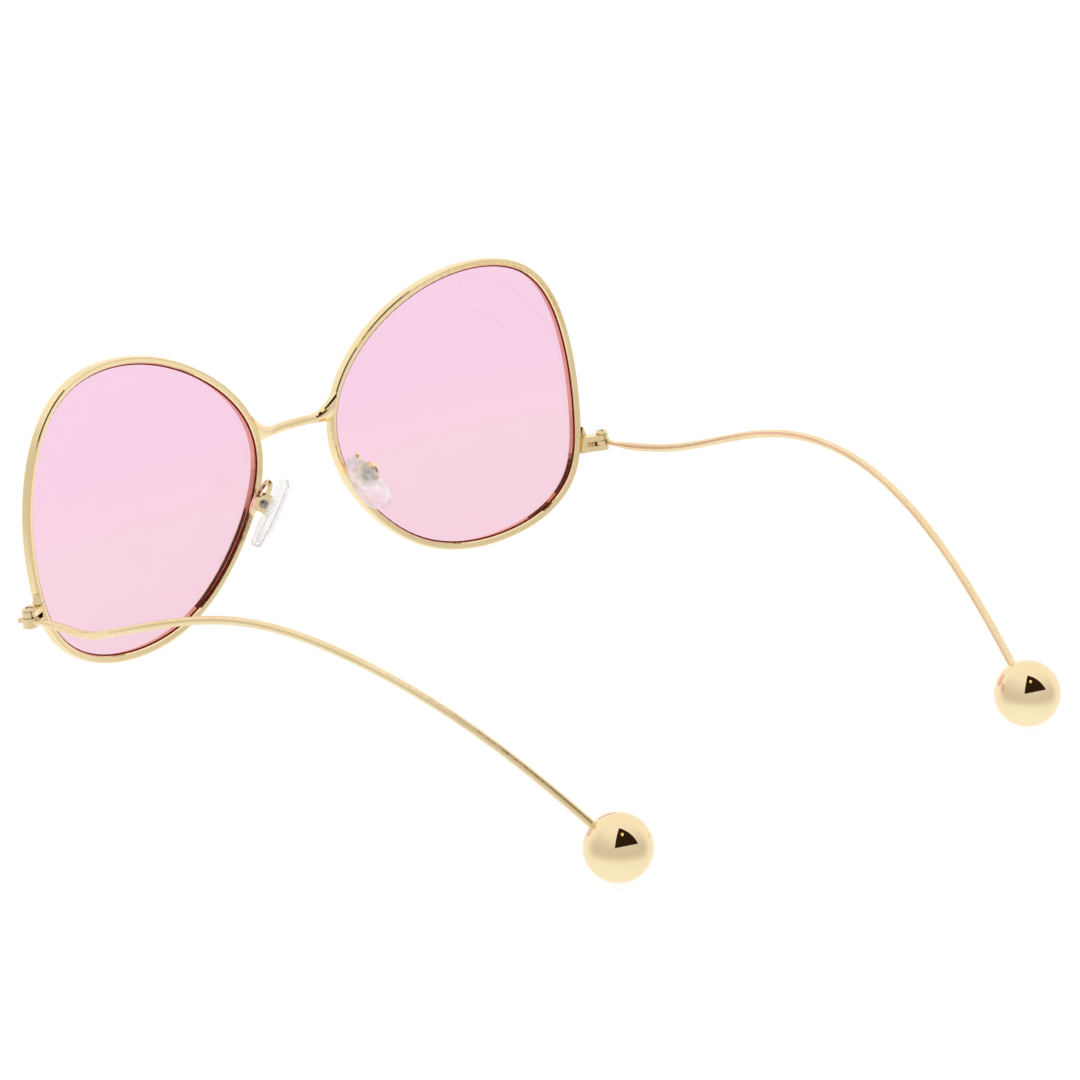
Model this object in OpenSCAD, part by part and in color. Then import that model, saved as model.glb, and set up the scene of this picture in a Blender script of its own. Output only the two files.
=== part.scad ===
// Wire-rimmed sunglasses with drop-shaped tinted lenses, adjustable nose pads
// and waved wire temples that end in round ball tips.
// Millimetres. +Z is up, the front faces -Y and the temples run back along +Y.
// The origin is the middle of the object's footprint, on the surface it stands on.
// "left" is the wearer's left, which is the +X side.

/* [Lenses] */
// Width of one lens, between the middles of the rim wire
lens_w = 58; // [50:0.5:64]
// Height of one lens, between the middles of the rim wire
lens_h = 55; // [44:0.5:60]
// Distance between the centres of the two lenses
lens_spacing = 77.3; // [74:0.1:84]
// Lean of the lenses, top forward, in degrees
tilt = 7; // [0:0.5:10]
// Turn of each lens back at its outer side, in degrees
wrap = 4.5; // [0:0.5:8]
// Radius that the lenses and the rims are curved to
base_radius = 122; // [90:1:250]
// Thickness of a lens
lens_t = 1.6; // [1.2:0.1:1.8]

/* [Rims] */
// Width of the rim wire, seen from the front
rim_w = 1.35; // [1.3:0.05:1.8]
// Depth of the rim wire, front to back
rim_d = 2.2; // [2.2:0.05:3]

/* [Hinges] */
// Height of the hinge bracket
bracket_h = 3; // [2.8:0.1:3.6]
// Height of the slot between the bracket's two leaves
slot_h = 0.95; // [0.9:0.05:1.2]
// Radius of a leaf round the hinge screw
leaf_r = 1.35; // [1.3:0.05:1.6]
// Radius of the hinge screw's shank
pin_r = 0.6; // [0.5:0.05:0.65]

/* [Temples] */
// Diameter of the temple wire
wire_d = 1.5; // [1.3:0.05:1.6]
// Diameter of the ball tips
ball_d = 12; // [9:0.5:14]

/* [Nose pads] */
// Length of a nose pad
pad_len = 14; // [12:0.5:16]
// Width of a nose pad
pad_w = 7; // [6:0.5:9]
// Thickness of a nose pad
pad_t = 2.7; // [2.4:0.1:3.4]

/* [Hidden] */
$fn = 48;

gold = [0.90, 0.79, 0.55];
steel = [0.35, 0.33, 0.31];
pink = [0.96, 0.80, 0.88, 0.7];
clear = [0.93, 0.93, 0.95, 0.7];

// ---- curves --------------------------------------------------------------

// One span of a uniform cubic B-spline, t from 0 to 1
function span(a, b, c, d, t) =
    (pow(1 - t, 3) * a + (3 * pow(t, 3) - 6 * t * t + 4) * b
    + (1 + 3 * t + 3 * t * t - 3 * pow(t, 3)) * c + pow(t, 3) * d) / 6;

// A point on the closed curve round the points c, where u counts points
function loop_at(c, u) =
    let (n = len(c), i = floor(u), t = u - i)
    span(c[(i + n - 1) % n], c[i % n], c[(i + 1) % n], c[(i + 2) % n], t);

// The points of an open curve that starts at the first of c and ends at the last
function open_curve(c, steps) =
    let (n = len(c), e = concat([c[0], c[0]], c, [c[n - 1], c[n - 1]]))
    concat([for (i = [0 : n], k = [0 : steps - 1]) span(e[i], e[i + 1], e[i + 2], e[i + 3], k / steps)],
           [c[n - 1]]);

function unit(v) = v / norm(v);
function flat(v) = [for (row = v) for (x = row) x];

// Direction of travel at point i of an open path
function heading(path, i) =
    unit(path[min(i + 1, len(path) - 1)] - path[max(i - 1, 0)]);

// Closed skin over a row of rings that all have the same number of points
module skin(rings) {
    n = len(rings);
    m = len(rings[0]);
    walls = [for (i = [0 : n - 2], j = [0 : m - 1])
        [i * m + j, (i + 1) * m + j, (i + 1) * m + (j + 1) % m, i * m + (j + 1) % m]];
    split_walls = flat([for (q = walls) [[q[0], q[1], q[2]], [q[0], q[2], q[3]]]]);
    ends = [[for (j = [0 : m - 1]) j], [for (j = [m - 1 : -1 : 0]) (n - 1) * m + j]];
    polyhedron(points = flat(rings), faces = concat(split_walls, ends), convexity = 8);
}

// A ring of m points on an ellipse: half width a along x, half height b along y
function ring(centre, x, y, a, b, m) =
    [for (j = [0 : m - 1]) centre + a * cos(360 * j / m) * x + b * sin(360 * j / m) * y];

// ---- placing -------------------------------------------------------------

// Places are measured from a datum midway between the lenses, level with the
// nose pads' tops, and the whole is moved to the footprint's middle at the end.
lens_at = [lens_spacing / 2, -1.2, 3.4];
function lean(p) = [p[0], p[1] * cos(tilt) - p[2] * sin(tilt), p[1] * sin(tilt) + p[2] * cos(tilt)];
function turn(p) = [p[0] * cos(wrap) - p[1] * sin(wrap), p[0] * sin(wrap) + p[1] * cos(wrap), p[2]];
function from_lens(p) = lean(turn(p)) + lens_at;

module in_lens() translate(lens_at) rotate([tilt, 0, 0]) rotate([0, 0, wrap]) children();
module handed(side) mirror([side == "left" ? 0 : 1, 0, 0]) children();
module placed(side) translate([0, datum_y, datum_z]) handed(side) children();

// ---- rim and lens outline ------------------------------------------------

// Points that shape the middle line of the rim, round the lens from its outer
// side over the top, for a lens of 58 by 55. The curve runs inside them.
outline_points = [[29, 9.5], [21, 27.5], [-3.5, 28.5], [-26.5, 15.5], [-32.5, -2.5],
                  [-13, -27], [12.5, -28.5], [27, -21], [29.5, -8]];
outline = [for (p = outline_points) [p[0] * lens_w / 58, p[1] * lens_h / 55]];

joint_gap = 0.1;
rim_steps = 108;

function line_at(u) = loop_at(outline, u);
function outward_at(u) =
    let (t = line_at(u + 0.01) - line_at(u - 0.01 + len(outline)))
    [t[1], -t[0]] / norm(t);
function dish(x, z) = (x * x + z * z) / (2 * base_radius);

// A point of the rim in the lens frame: out from the middle line, and back
function rim_point(u, out, back) =
    let (p = line_at(u) + out * outward_at(u))
    [p[0], dish(p[0], p[1]) + back, p[1]];

groove_depth = 0.45;
groove_w = 1.1;
groove_back = -0.1;
rim_corner = 0.5;
inner_corner = 0.2;

// Where the middle line reaches a height, on the nose side between the outline
// points 3 and 5, or on the outer side between the points 7 and 8
function nose_side(z, lo = 3, hi = 5.2, n = 24) =
    let (mid = (lo + hi) / 2)
    n == 0 ? mid : line_at(mid)[1] > z ? nose_side(z, mid, hi, n - 1) : nose_side(z, lo, mid, n - 1);
function outer_side(z, lo = 7, hi = 8.6, n = 24) =
    let (mid = (lo + hi) / 2)
    n == 0 ? mid : line_at(mid)[1] < z ? outer_side(z, mid, hi, n - 1) : outer_side(z, lo, mid, n - 1);

// Height of the hinge in the lens frame. The rim is split just above its
// bracket, for fitting the lens.
hinge_up = -13.1 * lens_h / 55;
rim_joint = outer_side(hinge_up + (bracket_h + joint_gap) / 2);

// A rounded corner of the section: centre, radius and the angle it starts at
function corner(centre, r, from, parts) =
    [for (i = [0 : parts]) centre + r * [cos(from - 90 * i / parts), sin(from - 90 * i / parts)]];

// Section of the rim wire as [out, back], with the groove that holds the lens
rim_section = concat(
    corner([rim_w / 2 - rim_corner, -rim_d / 2 + rim_corner], rim_corner, 0, 3),
    corner([-rim_w / 2 + inner_corner, -rim_d / 2 + inner_corner], inner_corner, 270, 1),
    [[-rim_w / 2, groove_back - groove_w / 2],
     [-rim_w / 2 + groove_depth, groove_back - groove_w / 4],
     [-rim_w / 2 + groove_depth, groove_back + groove_w / 4],
     [-rim_w / 2, groove_back + groove_w / 2]],
    corner([-rim_w / 2 + inner_corner, rim_d / 2 - inner_corner], inner_corner, 180, 1),
    corner([rim_w / 2 - rim_corner, rim_d / 2 - rim_corner], rim_corner, 90, 3)
);

module rim(side) {
    half_gap = joint_gap * len(outline) / (PI * (lens_w + lens_h));
    run = len(outline) - 2 * half_gap;
    rings = [for (i = [0 : rim_steps])
        let (u = rim_joint - half_gap - run * i / rim_steps + len(outline))
        [for (q = rim_section) rim_point(u, q[0], q[1])]];
    color(gold) placed(side) in_lens() skin(rings);
}

lens_gap = 0.03;
ridge = 0.4;
ridge_w = 0.4;
ridge_foot = 1.0;
chamfer = 0.25;

// One loop of the lens, drawn in towards the centre by k
function lens_loop(k, out, back) = [for (i = [0 : rim_steps - 1])
    let (u = len(outline) * i / rim_steps, p = k * (line_at(u) + out * outward_at(u)))
    [p[0], dish(p[0], p[1]) + back, p[1]]];

module lens(side) {
    edge = -rim_w / 2 - lens_gap;
    tip = -rim_w / 2 + ridge;
    front = groove_back - lens_t / 2;
    back = groove_back + lens_t / 2;
    loops = [
        lens_loop(0.02, edge, back), lens_loop(0.35, edge, back), lens_loop(0.7, edge, back),
        lens_loop(1, edge - chamfer, back), lens_loop(1, edge, back - chamfer / 2),
        lens_loop(1, edge, groove_back + ridge_foot / 2),
        lens_loop(1, tip, groove_back + ridge_w / 2), lens_loop(1, tip, groove_back - ridge_w / 2),
        lens_loop(1, edge, groove_back - ridge_foot / 2), lens_loop(1, edge, front),
        lens_loop(0.7, edge, front), lens_loop(0.35, edge, front), lens_loop(0.02, edge, front)
    ];
    color(pink) placed(side) in_lens() skin(loops);
}

// ---- footprint -----------------------------------------------------------

rim_samples = flat([for (i = [0 : rim_steps - 1], q = rim_section)
    [from_lens(rim_point(len(outline) * i / rim_steps, q[0], q[1]))]]);
floor_z = min([for (p = rim_samples) p[2]]);
front_y = min([for (p = rim_samples) p[1]]);

// How far the middle of a ball tip lies behind the datum
ball_back = 140.3;
datum_z = -floor_z;
datum_y = -(front_y + ball_back + ball_d / 2) / 2;

// ---- bridge --------------------------------------------------------------

// Height of the bridge above the lens centres, and how far it arches
bridge_up = 5;
bridge_arch = 0.5;
bridge_bow = 0.6;
bridge_bar_h = 1.8;
bridge_bar_d = 1.6;
bridge_flare = 4.2;
bridge_flare_len = 4.4;
bridge_flare_d = 0.5;
bridge_lean = 0.3;
bridge_bite = 0.15;
bridge_steps = 30;
bridge_sides = 18;

bridge_root = from_lens(rim_point(nose_side(bridge_up), rim_w / 2 - bridge_bite, 0));

module bridge() {
    rings = [for (i = [0 : bridge_steps])
        let (x = -bridge_root[0] + 2 * bridge_root[0] * i / bridge_steps,
             k = 1 - pow(x / bridge_root[0], 2),
             near = max(0, (abs(x) - bridge_root[0] + bridge_flare_len) / bridge_flare_len),
             rise = bridge_flare * pow(near, 2.3),
             up = unit([sign(x) * bridge_lean * min(1, near), 0, 1]),
             middle = [x, bridge_root[1] - bridge_bow * k, bridge_root[2] + bridge_arch * k])
        ring(middle + up * rise / 2, [0, 1, 0], up,
             (bridge_bar_d + bridge_flare_d * near) / 2, (bridge_bar_h + rise) / 2, bridge_sides)];
    color(gold) placed("left") skin(rings);
}

// ---- hinges --------------------------------------------------------------

// From the rim's outer wall to the hinge screw, and how far that runs back
hinge_out = 4.3;
hinge_back = 2.1;
wall_at = outer_side(hinge_up);
wall_angle = atan2(outward_at(wall_at)[1], outward_at(wall_at)[0]);
hinge_at = rim_point(wall_at, rim_w / 2, 0) + [hinge_out, hinge_back, 0];
hinge_datum = from_lens(hinge_at);
reach = norm([hinge_out, hinge_back]);
reach_angle = 180 + atan(hinge_back / hinge_out);

web = 1.5;
slot_depth = reach - web;
stop_wall = 0.4;
stop_from = 1.5;
pin_clearance = 0.04;
thread_bite = 0.05;
closing_r = 0.28;
closing_in = 0.9;
closing_bite = 0.5;
closing_head_r = 0.55;
closing_head_h = 0.3;
closing_slot_w = 0.2;
braze = 0.1;
cutter = 16;

// The frame of a hinge: its own screw axis is Z, and the rim lies along reach_angle
module in_hinge() in_lens() translate(hinge_at) children();
module along_reach() rotate([0, 0, reach_angle]) children();

// Everything inward of the rim's outer wall, less the braze that joins them
module behind_wall() translate([-hinge_out, 0, 0]) rotate([0, -wall_angle, 0])
    translate([-braze - cutter, -cutter / 2, -cutter / 2]) cube(cutter);

// Between the web and the screw, a thin wall closes the slot at the front
module hinge_bracket(side) {
    color(gold) placed(side) in_hinge() difference() {
        union() {
            cylinder(r = leaf_r, h = bracket_h, center = true);
            along_reach() translate([0, -leaf_r, -bracket_h / 2]) cube([reach + 2, 2 * leaf_r, bracket_h]);
        }
        behind_wall();
        along_reach() translate([-leaf_r - 1, -leaf_r - 1, -slot_h / 2]) {
            cube([stop_from + leaf_r + 1, 2 * leaf_r + 2, slot_h]);
            cube([slot_depth + leaf_r + 1, 2 * leaf_r + 1 - stop_wall, slot_h]);
        }
        cylinder(r = pin_r - thread_bite, h = bracket_h + 1, center = true);
        cylinder(r = pin_r + pin_clearance, h = bracket_h);
        along_reach() translate([reach - closing_in, 0, 0])
            cylinder(r = closing_r, h = bracket_h + 1, center = true);
    }
}

block_h = 1.9;
block_out = 1.25;
block_rise = 0.4;
block_top_out = 0.72;
block_w = 1.2;
block_in = 2;

module closing_block(side) {
    foot = bracket_h / 2 + joint_gap;
    color(gold) placed(side) in_hinge() difference() {
        translate([-hinge_out, -hinge_back + rim_d / 2, foot]) rotate([90, 0, 0])
            linear_extrude(height = block_w) polygon([[-block_in, 0], [block_out, 0], [block_out, block_rise],
                     [block_top_out, block_h], [-block_in, block_h]]);
        behind_wall();
        along_reach() translate([reach - closing_in, 0, 0])
            cylinder(r = closing_r - thread_bite, h = foot + closing_bite);
    }
}

module closing_screw(side) {
    color(steel) placed(side) in_hinge() along_reach() translate([reach - closing_in, 0, -bracket_h / 2]) {
        cylinder(r = closing_r - 0.02, h = bracket_h + joint_gap + closing_bite - 0.1);
        translate([0, 0, -closing_head_h]) difference() {
            cylinder(r = closing_head_r, h = closing_head_h);
            translate([-1, -closing_slot_w / 2, -1]) cube([2, closing_slot_w, 1 + closing_head_h / 2]);
        }
    }
}

head_r = 1.15;
head_h = 0.85;
head_gap = 0.02;

// A screw head of height h with a domed top and a cross slot, standing on z = 0
module cross_head(r, h) {
    dome_h = h / 2;
    dome_r = (r * r + dome_h * dome_h) / (2 * dome_h);
    difference() {
        intersection() {
            cylinder(r = r, h = h);
            translate([0, 0, h - dome_r]) sphere(r = dome_r);
        }
        for (a = [0, 90]) rotate([0, 0, a])
            translate([-0.75 * r, -0.13 * r, h - dome_h]) cube([1.5 * r, 0.26 * r, h]);
    }
}

module hinge_screw(side) {
    color(gold) placed(side) in_hinge() {
        translate([0, 0, -bracket_h / 2]) cylinder(r = pin_r, h = bracket_h + 0.1);
        translate([0, 0, bracket_h / 2 + head_gap]) rotate([0, 0, 25]) cross_head(head_r, head_h);
    }
}

// ---- temples -------------------------------------------------------------

eye_r = 1.6;
eye_t = slot_h - 0.12;
neck_w = 1.2;
neck_len = 2.3;
tail_len = 2;
tail_w = 1;
tail_angle = -42;

// The neck points straight back, whatever the turn of the lens, and a short
// tail stands out of the slot on the outer side
module temple_eye(side) {
    color(gold) placed(side) in_hinge() rotate([0, 0, -wrap]) difference() {
        union() {
            cylinder(r = eye_r, h = eye_t, center = true);
            translate([-neck_w / 2, 0, -eye_t / 2]) cube([neck_w, neck_len, eye_t]);
            rotate([0, 0, tail_angle]) translate([0, -tail_w / 2, -eye_t / 2])
                cube([tail_len, tail_w, eye_t]);
        }
        cylinder(r = pin_r + pin_clearance, h = 2 * eye_t, center = true);
    }
}

// Points that shape the temple wire, from the hinge to the middle of the ball tip,
// measured from the datum. The first two lie in the plane of the hinge slot.
temple_points = [[71.2, 18.5, -7.6], [73.7, 28.5, -6], [77.4, 38.8, -1.7],
                 [70.6, 61.8, 7.3], [67.2, 85.8, 7.9], [58.7, 115.3, -1.7]];
ball_side = 50.6;
wire_start = 2.2;
flat_len = 6;
wire_sides = 10;
wire_steps = 6;

slot_back = lean([0, 1, 0]);
wire_from = hinge_datum + wire_start * slot_back;
ball_at = [ball_side, ball_back, floor_z + ball_d / 2];
wire_path = open_curve(concat([wire_from], temple_points, [ball_at]), wire_steps);

// Wire that is pressed flat towards the hinge, where it meets the eye
module temple_wire(side) {
    rings = [for (i = [0 : wire_end])
        let (p = wire_path[i], h = heading(wire_path, i), x = unit(cross([0, 0, 1], h)), y = cross(h, x),
             k = min(1, norm(p - wire_from) / flat_len), thin = eye_t / wire_d)
        ring(p, x, y, wire_d / 2, wire_d / 2 * (thin + (1 - thin) * k * k * (3 - 2 * k)), wire_sides)];
    color(gold) placed(side) skin(rings);
}

// The wire ends inside the ball, halfway to its middle
wire_end = len(wire_path) - 3;
bore_clearance = 0.06;
bore_past_wire = 0.3;

module ball_tip(side) {
    way_in = wire_path[wire_end] - ball_at;
    into = unit(way_in);
    color(gold) placed(side) translate(ball_at) difference() {
        sphere(d = ball_d, $fn = 96);
        rotate([0, acos(into[2]), atan2(into[1], into[0])]) translate([0, 0, norm(way_in) - bore_past_wire])
            cylinder(r = wire_d / 2 + bore_clearance, h = ball_d);
    }
}

// ---- nose pads -----------------------------------------------------------

// Middle of a nose pad from the datum. In the pad's own frame Z runs up along
// the pad, Y along its screw towards the wearer, and X out of the pad's back.
pad_at = [12.3, 6.5, -3.6];
pad_splay = 34.6;
pad_turn = 30;
pad_axis = [1.9, 0, 0.9];
pad_back = 0.75;
pad_rings = 20;
pad_sides = 20;
pad_fullness = 0.8;
pad_bluntness = 0.45;
pad_drop = 0.15;

function from_pad(p) =
    let (x = p[0] * cos(pad_turn) + p[1] * sin(pad_turn),
         y = -p[0] * sin(pad_turn) + p[1] * cos(pad_turn))
    pad_at + [x * cos(pad_splay) - p[2] * sin(pad_splay), y, x * sin(pad_splay) + p[2] * cos(pad_splay)];

module in_pad() translate(pad_at) rotate([0, -pad_splay, 0]) rotate([0, 0, -pad_turn]) children();
module at_pad_axis() in_pad() translate(pad_axis) children();
module across(length) rotate([90, 0, 0]) linear_extrude(height = length, center = true) children();

plate_len = 3.6;
plate_w = 2.4;
plate_t = 0.5;
lug_w = 1.8;
lug_r = 1;
lug_neck = 1.5;
box_gap = 2;
box_wall = 0.55;
box_r = 1.6;
box_inner_r = 1.2;
box_mouth = 0.9;
pad_screw_r = 0.35;
running_gap = 0.04;
tab_top = 2.1;
tab_t = 0.45;
tab_slot = 0.3;

// Soft clear pad, domed towards the nose and flatter at its back
module nose_pad(side) {
    rings = [for (i = [0 : pad_rings])
        let (a = 6 + 168 * i / pad_rings,
             k = pow(sin(a), pad_fullness) * (0.9 + pad_drop * cos(a)),
             kt = pow(sin(a), pad_bluntness))
        [for (j = [0 : pad_sides - 1])
            let (b = 360 * j / pad_sides, x = cos(b), y = sin(b))
            [kt * (x > 0 ? pad_back : pad_t - pad_back) * sign(x) * pow(abs(x), pad_fullness),
             k * pad_w / 2 * sign(y) * pow(abs(y), pad_fullness), -pad_len / 2 * cos(a)]]];
    color(clear) placed(side) in_pad() difference() {
        skin(rings);
        pad_core(pad_back + 1);
    }
}

// The plate moulded into the pad, and the neck that comes out of its back
module pad_core(depth) {
    across(plate_w) translate([0, pad_axis[2]]) square([plate_t, plate_len], center = true);
    translate([0, -lug_w / 2, pad_axis[2] - lug_neck / 2]) cube([depth, lug_w, lug_neck]);
}

module pad_mount(side) {
    color(clear) placed(side) in_pad() difference() {
        union() {
            pad_core(pad_axis[0]);
            translate(pad_axis) rotate([90, 0, 0]) cylinder(r = lug_r, h = lug_w, center = true);
        }
        translate(pad_axis) rotate([90, 0, 0])
            cylinder(r = pad_screw_r + running_gap, h = 2 * lug_w, center = true);
    }
}

module pad_box(side) {
    width = box_gap + 2 * box_wall;
    color(gold) placed(side) at_pad_axis() difference() {
        across(width) {
            intersection() {
                circle(r = box_r);
                translate([-box_mouth, -box_r]) square(2 * box_r);
            }
            translate([-box_mouth, -box_r]) square([box_mouth, 2 * box_r]);
            translate([-box_mouth, box_r - 0.1]) square([box_mouth + 0.5, tab_top - box_r + 0.1]);
        }
        across(box_gap) {
            circle(r = box_inner_r);
            translate([-box_mouth - 1, -box_inner_r]) square([box_mouth + 1, 2 * box_inner_r]);
        }
        translate([-box_mouth - 1, box_gap / 2 - 0.1, tab_top - tab_t - tab_slot])
            cube([box_mouth + 2, box_wall + 1, tab_slot]);
        rotate([90, 0, 0]) cylinder(r = pad_screw_r - thread_bite, h = box_gap + 1, center = true);
        rotate([-90, 0, 0]) cylinder(r = pad_screw_r + running_gap, h = width);
    }
}

pad_head_r = 0.85;
pad_head_h = 0.4;

module pad_screw(side) {
    width = box_gap + 2 * box_wall;
    color(steel) placed(side) at_pad_axis() rotate([-90, 0, 0]) {
        translate([0, 0, -width / 2]) cylinder(r = pad_screw_r, h = width + 0.1);
        translate([0, 0, width / 2 + head_gap]) rotate([0, 0, 20]) cross_head(pad_head_r, pad_head_h);
    }
}

// The arm leaves the back of the rim, passes in front of the box, arches over
// and comes down on the box's tab
arm_d = 0.9;
arm_root_height = -6.6;
arm_sides = 8;

arm_root_at = nose_side(arm_root_height);
arm_root = from_lens(rim_point(arm_root_at, 0, rim_d / 2 - 0.1));
arm_end = from_pad(pad_axis + [-0.2, 0, tab_top - 0.1]);
arm_points = [[13.9, 3.3, -5.2], [14, 3.4, -2.6], [12.3, 3.9, 0.1], [10.8, 5, 2.4], [10.8, 5.5, 1.1]];

module pad_arm(side) {
    path = open_curve(concat([arm_root], arm_points, [arm_end]), 5);
    rings = [for (i = [0 : len(path) - 1])
        let (h = heading(path, i), x = unit(cross([0, 1, 0], h)), y = cross(h, x))
        ring(path[i], x, y, arm_d / 2, arm_d / 2, arm_sides)];
    color(gold) placed(side) skin(rings);
}

rim("left");  // rim_left
rim("right");  // rim_right
lens("left");  // lens_left
lens("right");  // lens_right
bridge();
hinge_bracket("left");  // hinge_bracket_left
hinge_bracket("right");  // hinge_bracket_right
closing_block("left");  // closing_block_left
closing_block("right");  // closing_block_right
closing_screw("left");  // closing_screw_left
closing_screw("right");  // closing_screw_right
hinge_screw("left");  // hinge_screw_left
hinge_screw("right");  // hinge_screw_right
temple_eye("left");  // temple_eye_left
temple_eye("right");  // temple_eye_right
temple_wire("left");  // temple_wire_left
temple_wire("right");  // temple_wire_right
ball_tip("left");  // ball_tip_left
ball_tip("right");  // ball_tip_right
pad_arm("left");  // pad_arm_left
pad_arm("right");  // pad_arm_right
pad_box("left");  // pad_box_left
pad_box("right");  // pad_box_right
pad_screw("left");  // pad_screw_left
pad_screw("right");  // pad_screw_right
pad_mount("left");  // pad_mount_left
pad_mount("right");  // pad_mount_right
nose_pad("left");  // nose_pad_left
nose_pad("right");  // nose_pad_right
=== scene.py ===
"""Gold wire sunglasses with pink lenses, standing on a white sweep and seen from behind."""
import math

import bpy
from mathutils import Matrix, Vector

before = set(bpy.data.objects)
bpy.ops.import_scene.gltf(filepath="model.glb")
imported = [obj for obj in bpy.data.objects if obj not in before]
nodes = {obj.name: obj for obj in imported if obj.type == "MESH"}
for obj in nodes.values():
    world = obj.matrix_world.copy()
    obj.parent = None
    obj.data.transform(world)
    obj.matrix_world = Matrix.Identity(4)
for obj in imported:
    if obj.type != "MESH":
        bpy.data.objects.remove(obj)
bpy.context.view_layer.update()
SIDES = ("left", "right")


# ---- camera ---------------------------------------------------------------

VIEW_AZIMUTH = math.radians(136.82)
VIEW_ELEVATION = math.radians(20.16)
VIEW_DISTANCE = 1.05
FOCAL_LENGTH = 184.06
AIM = Vector((-0.03605, -0.04259, 0.00893))


def view_axes():
    """The camera's right, up and back directions."""
    right = Vector((math.cos(VIEW_AZIMUTH), math.sin(VIEW_AZIMUTH), 0))
    level = Vector((math.sin(VIEW_AZIMUTH), -math.cos(VIEW_AZIMUTH), 0))
    back = level * math.cos(VIEW_ELEVATION) + Vector((0, 0, math.sin(VIEW_ELEVATION)))
    return right, back.cross(right), back


def add_camera():
    data = bpy.data.cameras.new("view")
    data.lens = FOCAL_LENGTH
    data.sensor_width = 36
    data.clip_start = 0.05
    data.clip_end = 30
    camera = bpy.data.objects.new("view", data)
    right, up, back = view_axes()
    turn = Matrix((right, up, back)).transposed()
    camera.matrix_world = Matrix.Translation(AIM + back * VIEW_DISTANCE) @ turn.to_4x4()
    bpy.context.collection.objects.link(camera)
    bpy.context.scene.camera = camera


# ---- materials ------------------------------------------------------------

# Noise values outside this range get a ramp's end colours
RAMP_RANGE = (0.35, 0.65)
PINK_LOW, PINK_HIGH = (0.912, 0.640, 0.745), (0.907, 0.615, 0.775)
# Painted shade for the lens edge faces: the dark red of the groove's shade and of light's long path
# through the tint
EDGE_SHADE_LOW, EDGE_SHADE_HIGH = (0.26, 0.008, 0.006), (0.36, 0.02, 0.014)
STEEL_LOW, STEEL_HIGH = (0.36, 0.33, 0.29), (0.50, 0.46, 0.41)


def new_material(name, **sockets):
    """A Principled material with its constant sockets set. Returns it with its node tree."""
    material = bpy.data.materials.new(name)
    material.use_nodes = True
    shader = material.node_tree.nodes["Principled BSDF"]
    for socket, value in sockets.items():
        shader.inputs[socket.replace("_", " ")].default_value = value
    return material, material.node_tree


def noise(tree, scale):
    """A noise texture in object space. scale is in features per metre."""
    place = tree.nodes.new("ShaderNodeTexCoord")
    texture = tree.nodes.new("ShaderNodeTexNoise")
    texture.inputs["Scale"].default_value = scale
    texture.inputs["Detail"].default_value = 3
    tree.links.new(place.outputs["Object"], texture.inputs["Vector"])
    return texture.outputs["Fac"]


def ramp(tree, source, low, high):
    """Maps a 0 to 1 value to a colour between low and high."""
    node = tree.nodes.new("ShaderNodeValToRGB")
    ends = node.color_ramp.elements
    for end, position, colour in zip(ends, RAMP_RANGE, (low, high)):
        end.position = position
        end.color = (*colour, 1)
    tree.links.new(source, node.inputs["Fac"])
    return node.outputs["Color"]


def grey(value):
    return (value, value, value)


def bump(tree, source, distance):
    """A faint relief, distance metres high."""
    node = tree.nodes.new("ShaderNodeBump")
    node.inputs["Distance"].default_value = distance
    node.inputs["Strength"].default_value = 0.3
    tree.links.new(source, node.inputs["Height"])
    tree.links.new(node.outputs["Normal"], tree.nodes["Principled BSDF"].inputs["Normal"])


def plated(name, low, high, roughness, grain):
    """Polished pale gold plating, with a slight drift of colour and a fine polishing grain."""
    material, tree = new_material(name, Metallic=1.0)
    shader = tree.nodes["Principled BSDF"]
    tree.links.new(ramp(tree, noise(tree, 90), low, high), shader.inputs["Base Color"])
    shine = ramp(tree, noise(tree, grain), grey(roughness * 0.7), grey(roughness * 1.3))
    tree.links.new(shine, shader.inputs["Roughness"])
    bump(tree, noise(tree, grain), 0.00001)
    return material


def lens_tint():
    """Clear pink, a little more lilac towards the top of the lens. A thin lens hardly bends what is
    seen through it, so the shine comes from a coat."""
    material, tree = new_material("pink_lens", Roughness=0, IOR=1.005, Transmission_Weight=1,
                                  Coat_Weight=0.6, Coat_Roughness=0.02)
    shader = tree.nodes["Principled BSDF"]
    place = tree.nodes.new("ShaderNodeTexCoord")
    parts = tree.nodes.new("ShaderNodeSeparateXYZ")
    tree.links.new(place.outputs["Generated"], parts.inputs["Vector"])
    tree.links.new(ramp(tree, parts.outputs["Z"], PINK_LOW, PINK_HIGH), shader.inputs["Base Color"])
    return material


def painted_edge_shade():
    """Painted shade: the dark red that a tinted lens shows at its cut edge and in the groove round
    it, painted on as the edge faces' own colour.
    """
    material, tree = new_material("painted_edge_shade", Roughness=0.6, Specular_IOR_Level=0.1)
    shader = tree.nodes["Principled BSDF"]
    tree.links.new(ramp(tree, noise(tree, 200), EDGE_SHADE_LOW, EDGE_SHADE_HIGH), shader.inputs["Base Color"])
    return material


def clear(name, ior, alpha, low, high, roughness):
    """A clear, slightly soft-surfaced material. roughness is its least and its most."""
    material, tree = new_material(name, IOR=ior, Alpha=alpha, Transmission_Weight=0.88)
    shader = tree.nodes["Principled BSDF"]
    tree.links.new(ramp(tree, noise(tree, 150), low, high), shader.inputs["Base Color"])
    tree.links.new(ramp(tree, noise(tree, 900), *map(grey, roughness)), shader.inputs["Roughness"])
    bump(tree, noise(tree, 500), 0.00002)
    return material


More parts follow.
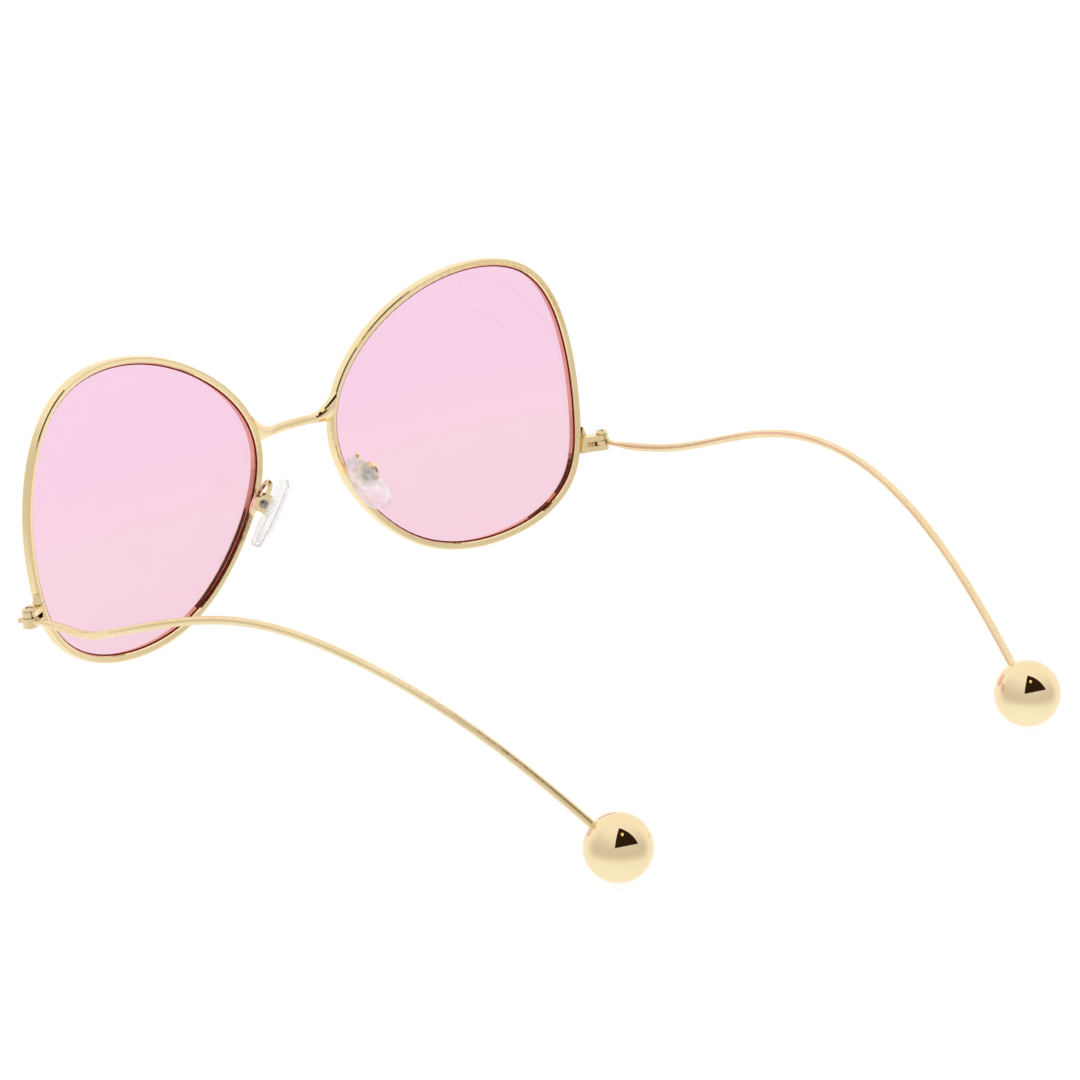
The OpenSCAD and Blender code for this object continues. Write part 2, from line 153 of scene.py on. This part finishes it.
def dark_steel():
    """The dark steel of the small screws."""
    material, tree = new_material("dark_steel", Metallic=1.0)
    shader = tree.nodes["Principled BSDF"]
    tree.links.new(ramp(tree, noise(tree, 800), STEEL_LOW, STEEL_HIGH), shader.inputs["Base Color"])
    tree.links.new(ramp(tree, noise(tree, 1500), grey(0.25), grey(0.4)), shader.inputs["Roughness"])
    return material


def paint(names, material):
    for name in names:
        mesh = nodes[name].data
        mesh.materials.clear()
        mesh.materials.append(material)


def on_both(*kinds):
    return [f"{kind}_{side}" for kind in kinds for side in SIDES]


def smooth(names, angle):
    """Shades curved faces smooth and keeps the edges sharper than the angle, in degrees."""
    for name in names:
        mesh = nodes[name].data
        mesh.shade_smooth()
        mesh.set_sharp_from_angle(angle=math.radians(angle))


def keep_flats_flat(names):
    """Stops the flat faces of a piece from picking up the shading of its rounded ones."""
    for name in names:
        flats = nodes[name].modifiers.new("keep_flats_flat", "WEIGHTED_NORMAL")
        flats.keep_sharp = True


gold = plated("gold_plate", (0.87, 0.70, 0.42), (0.91, 0.75, 0.47), 0.10, 1500)
paint(on_both("rim", "hinge_bracket", "closing_block", "temple_eye", "pad_arm", "pad_box"), gold)
paint(["bridge"], gold)
paint(on_both("temple_wire"), plated("gold_wire", (0.86, 0.69, 0.42), (0.90, 0.74, 0.47), 0.34, 1500))
paint(on_both("ball_tip"), plated("gold_ball", (0.87, 0.71, 0.45), (0.89, 0.74, 0.48), 0.05, 700))
paint(on_both("hinge_screw"), plated("gold_screw", (0.76, 0.61, 0.38), (0.84, 0.69, 0.44), 0.2, 2500))
paint(on_both("closing_screw", "pad_screw"), dark_steel())
silicone = clear("clear_silicone", 1.38, 0.6, (0.96, 0.95, 0.97), (0.99, 0.98, 0.99), (0.03, 0.09))
paint(on_both("nose_pad"), silicone)
core = clear("clear_plastic", 1.42, 0.15, (0.95, 0.93, 0.94), (0.98, 0.97, 0.98), (0.02, 0.06))
paint(on_both("pad_mount"), core)
paint(on_both("lens"), lens_tint())

# The left lens's own frame, as it is built: its middle, its lean and turn, and its curve's radius
LENS_CENTRE = Vector((0.03865, -0.07268, 0.02752))
LENS_TILT = math.radians(7)
LENS_WRAP = math.radians(4.5)
LENS_RADIUS = 0.122
# An edge face stands at least this far behind the dish through the lens's middle, and its direction
# has at most this cosine with the dish's own
EDGE_DEPTH = 0.0001
EDGE_TURN = 0.93


def paint_edge_shade():
    """Gives the back bevel and the wall round each lens the painted edge shade. This dark red stands
    in for the groove's shade and the long path of light through the tint.
    """
    # The edge faces get the painted shade as a second material
    shade_material = painted_edge_shade()
    for name in on_both("lens"):
        mesh = nodes[name].data
        mesh.materials.append(shade_material)
        side = 1 if name.endswith("left") else -1
        turn = Matrix.Rotation(LENS_TILT, 3, "X") @ Matrix.Rotation(LENS_WRAP * side, 3, "Z")
        centre = Vector((LENS_CENTRE.x * side, LENS_CENTRE.y, LENS_CENTRE.z))
        for face in mesh.polygons:
            place = turn.transposed() @ (face.center - centre)
            normal = turn.transposed() @ face.normal
            dished = Vector((-place.x / LENS_RADIUS, 1, -place.z / LENS_RADIUS)).normalized()
            depth = place.y - (place.x ** 2 + place.z ** 2) / (2 * LENS_RADIUS)
            if depth > EDGE_DEPTH and normal.dot(dished) < EDGE_TURN:
                face.material_index = 1


paint_edge_shade()
smooth(nodes, 40)
keep_flats_flat(on_both("rim", "hinge_bracket", "closing_block"))


# ---- stage ----------------------------------------------------------------

def glow_material(name, shade):
    """A plain emitting material."""
    material = bpy.data.materials.new(name)
    material.use_nodes = True
    tree = material.node_tree
    tree.nodes.clear()
    glow = tree.nodes.new("ShaderNodeEmission")
    glow.inputs["Color"].default_value = (*shade, 1)
    out = tree.nodes.new("ShaderNodeOutputMaterial")
    tree.links.new(glow.outputs["Emission"], out.inputs["Surface"])
    return material


FLOOR_SIZE = 12
FLOOR_GLOW = 1.08
FLOOR_SHADOW = 0.15


def add_floor():
    """A white floor that glows softly, so that it stays white with only a trace of shadow."""
    bpy.ops.mesh.primitive_plane_add(size=FLOOR_SIZE, location=(0, 0, 0))
    floor = bpy.context.object
    floor.name = "floor"
    material = glow_material("white_sweep", grey(FLOOR_GLOW))
    tree = material.node_tree
    diffuse = tree.nodes.new("ShaderNodeBsdfDiffuse")
    diffuse.inputs["Color"].default_value = (0.93, 0.93, 0.93, 1)
    mix = tree.nodes.new("ShaderNodeMixShader")
    mix.inputs["Fac"].default_value = FLOOR_SHADOW
    tree.links.new(tree.nodes["Emission"].outputs["Emission"], mix.inputs[1])
    tree.links.new(diffuse.outputs["BSDF"], mix.inputs[2])
    tree.links.new(mix.outputs["Shader"], tree.nodes["Material Output"].inputs["Surface"])
    floor.data.materials.append(material)
    floor.visible_glossy = False


# The studio's brightness by height: the sine of the elevation, and the colour there
STUDIO = ((-1.0, (1.08, 1.13, 1.12)), (-0.5, (1.04, 1.06, 1.03)), (-0.2, (0.80, 0.78, 0.74)),
          (0.0, (0.74, 0.72, 0.68)), (0.35, (0.80, 0.78, 0.75)), (1.0, (1.08, 1.06, 1.05)))
BRIGHTEST = 1.2
# The backdrop's colour, and how far round, as a cosine, it starts and is full
BACKDROP = (1.08, 1.06, 1.01)
BACKDROP_START = -0.1
BACKDROP_FULL = 0.55


def add_world():
    """Brightness by height, and a brighter backdrop on the side away from the camera."""
    world = bpy.data.worlds.new("studio")
    bpy.context.scene.world = world
    world.use_nodes = True
    tree = world.node_tree
    place = tree.nodes.new("ShaderNodeTexCoord")
    parts = tree.nodes.new("ShaderNodeSeparateXYZ")
    height = tree.nodes.new("ShaderNodeMapRange")
    height.inputs["From Min"].default_value = -1
    shade = tree.nodes.new("ShaderNodeValToRGB")
    stops = shade.color_ramp.elements
    while len(stops) < len(STUDIO):
        stops.new(0.5)
    for stop, (sine, colour) in zip(stops, STUDIO):
        stop.position = (sine + 1) / 2
        stop.color = (*(part / BRIGHTEST for part in colour), 1)
    tree.links.new(place.outputs["Generated"], parts.inputs["Vector"])
    tree.links.new(parts.outputs["Z"], height.inputs["Value"])
    tree.links.new(height.outputs["Result"], shade.inputs["Fac"])
    away = tree.nodes.new("ShaderNodeVectorMath")
    away.operation = "DOT_PRODUCT"
    away.inputs[1].default_value = (-math.sin(VIEW_AZIMUTH), math.cos(VIEW_AZIMUTH), 0)
    behind = tree.nodes.new("ShaderNodeMapRange")
    behind.interpolation_type = "SMOOTHSTEP"
    behind.inputs["From Min"].default_value = BACKDROP_START
    behind.inputs["From Max"].default_value = BACKDROP_FULL
    mix = tree.nodes.new("ShaderNodeMixRGB")
    mix.inputs["Color2"].default_value = (*(part / BRIGHTEST for part in BACKDROP), 1)
    tree.links.new(place.outputs["Generated"], away.inputs[0])
    tree.links.new(away.outputs["Value"], behind.inputs["Value"])
    tree.links.new(behind.outputs["Result"], mix.inputs["Fac"])
    tree.links.new(shade.outputs["Color"], mix.inputs["Color1"])
    background = tree.nodes["Background"]
    tree.links.new(mix.outputs["Color"], background.inputs["Color"])
    background.inputs["Strength"].default_value = BRIGHTEST


def add_card(name, corners, distance, shade):
    """A flat card behind the camera, which only mirrors see. Corners are camera directions."""
    right, up, back = view_axes()
    points = [AIM + distance * (x * right + y * up + z * back) for x, y, z in corners]
    mesh = bpy.data.meshes.new(name)
    mesh.from_pydata(points, [], [list(range(len(points)))])
    card = bpy.data.objects.new(name, mesh)
    bpy.context.collection.objects.link(card)
    mesh.materials.append(glow_material(name, shade))
    card.visible_camera = False


add_camera()
add_floor()
add_world()
dark_corners = [(0.03, 0.90, 0.46), (-0.19, -0.03, 0.98), (0.88, 0.16, 0.46)]
add_card("dark_card", dark_corners, 1.6, (0.03, 0.015, 0.008))
lamp_corners = [(0.13, 0.68, 0.72), (0.26, 0.66, 0.70), (0.24, 0.54, 0.80), (0.13, 0.56, 0.82)]
add_card("lamp", lamp_corners, 1.1, (1.2, 0.9, 0.4))
bpy.context.scene.view_settings.view_transform = "Standard"
